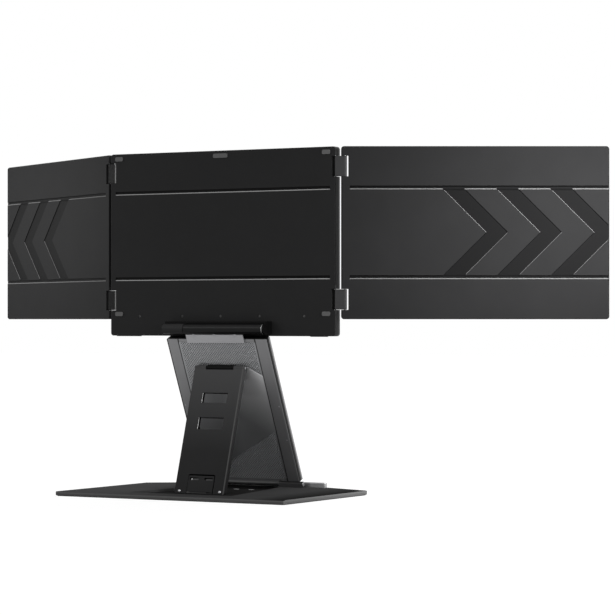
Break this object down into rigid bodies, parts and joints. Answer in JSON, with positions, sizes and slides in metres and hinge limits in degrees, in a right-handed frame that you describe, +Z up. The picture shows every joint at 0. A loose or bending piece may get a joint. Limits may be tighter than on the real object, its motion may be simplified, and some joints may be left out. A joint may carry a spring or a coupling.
{
  "type": "laptop screen extender",
  "caption": "Free-standing screen extender: a centre screen on a folding stand with flat base and kickstand, and a side screen hinged on each edge.",
  "frame": {"origin": "middle of the base's underside, on the desk", "axes": "+X to the user's right along the screens, +Y to the back of the screens, +Z up"},
  "size_m": [0.9922, 0.3279, 0.4691],
  "materials": {
    "barrel": "satin dark grey",
    "base_metal": "matt powder coat",
    "bezel": "matt",
    "black_plastic": "matt",
    "board": "solder mask",
    "bracket": "light grey, satin",
    "button": "matt",
    "cover": "dark anodised, matt",
    "dark_bar": "satin black",
    "dark_screw": "black oxide",
    "deck": "matt powder coat",
    "hinge_metal": "satin black",
    "kick_metal": "dark anodised, satin",
    "lcd": "dark, anti-glare",
    "leaf_metal": "dark anodised, satin",
    "leaf_panel": "dark anodised, brushed",
    "link": "grey, satin",
    "mat": "matt, fine texture",
    "pad": "matt",
    "port_metal": "bright",
    "shoe": "matt",
    "steel": "satin steel",
    "switch": "matt"
  },
  "bodies": {
    "base": {"base_mat": "mat", "base_plate": "base_metal", "base_deck": "deck", "base_screws": "steel", "front_bar": "dark_bar", "hinge_blocks": "hinge_metal", "hinge_pins": "steel"},
    "leaf": {"leaf_frame": "leaf_metal", "leaf_rear_panel": "leaf_panel", "leaf_front_cover": "black_plastic", "leaf_knuckle": "hinge_metal", "leaf_screws": "dark_screw", "kick_hinge_block": "hinge_metal", "kick_pin": "steel", "tilt_sleeve": "barrel", "barrel_bracket": "bracket", "bracket_screws": "steel"},
    "kickstand": {"kickstand": "kick_metal", "foot_shoe": "shoe", "foot_rivets": "steel"},
    "centre_screen": {"centre_rear_cover": "cover", "centre_front_frame": "bezel", "centre_screws": "dark_screw", "centre_lcd": "lcd", "main_board": "board", "ports": "port_metal", "button_switches": "switch", "rear_pads": "pad", "tilt_mount": "barrel", "mount_screws": "steel", "tilt_shaft": "steel", "tilt_washer": "steel", "left_inner_pins": "steel", "right_inner_pins": "steel"},
    "power_button": {"power_button": "button"},
    "menu_button": {"menu_button": "button"},
    "left_link": {"left_links": "link"},
    "left_screen": {"left_rear_cover": "cover", "left_bezel": "bezel", "left_lcd": "lcd", "left_driver_board": "board", "left_outer_pins": "steel"},
    "right_link": {"right_links": "link"},
    "right_screen": {"right_rear_cover": "cover", "right_bezel": "bezel", "right_lcd": "lcd", "right_driver_board": "board", "right_outer_pins": "steel"}
  },
  "joints": [
    {"name": "base_hinge", "type": "hinge", "parent": "base", "child": "leaf", "pos_m": [0, -0.09425, 0.013], "axis": [1, 0, 0], "range_deg": [-7, 15]},
    {"name": "kickstand_hinge", "type": "hinge", "parent": "leaf", "child": "kickstand", "pos_m": [0, -0.02313, 0.17268], "axis": [1, 0, 0], "range_deg": [-34.5, 16.1]},
    {"name": "screen_tilt", "type": "hinge", "parent": "leaf", "child": "centre_screen", "pos_m": [0, -0.005, 0.22573], "axis": [1, 0, 0], "range_deg": [-90, 5]},
    {"name": "left_link_hinge", "type": "hinge", "parent": "centre_screen", "child": "left_link", "pos_m": [-0.1771, -0.02595, 0.35413], "axis": [0, 0, 1], "range_deg": [-15, 75]},
    {"name": "left_screen_hinge", "type": "hinge", "parent": "left_link", "child": "left_screen", "pos_m": [-0.19043, -0.02952, 0.35413], "axis": [0, 0, 1], "range_deg": [-15, 75]},
    {"name": "right_link_hinge", "type": "hinge", "parent": "centre_screen", "child": "right_link", "pos_m": [0.1746, -0.0322, 0.35413], "axis": [0, 0, -1], "range_deg": [-15, 75]},
    {"name": "right_screen_hinge", "type": "hinge", "parent": "right_link", "child": "right_screen", "pos_m": [0.19039, -0.03643, 0.35413], "axis": [0, 0, -1], "range_deg": [-15, 75]},
    {"name": "power_press", "type": "slide", "parent": "centre_screen", "child": "power_button", "axis": [0, 0, 1], "range_m": [0, 0.0005], "stiffness_N_per_m": 400, "springref_m": -0.0003},
    {"name": "menu_press", "type": "slide", "parent": "centre_screen", "child": "menu_button", "axis": [0, 0, 1], "range_m": [0, 0.0005], "stiffness_N_per_m": 400, "springref_m": -0.0003}
  ],
  "couplings": [
    {"joint": "kickstand_hinge", "follows": "base_hinge", "ratio": -2.3},
    {"joint": "left_link_hinge", "follows": "left_screen_hinge", "ratio": 1},
    {"joint": "right_link_hinge", "follows": "right_screen_hinge", "ratio": 1}
  ]
}
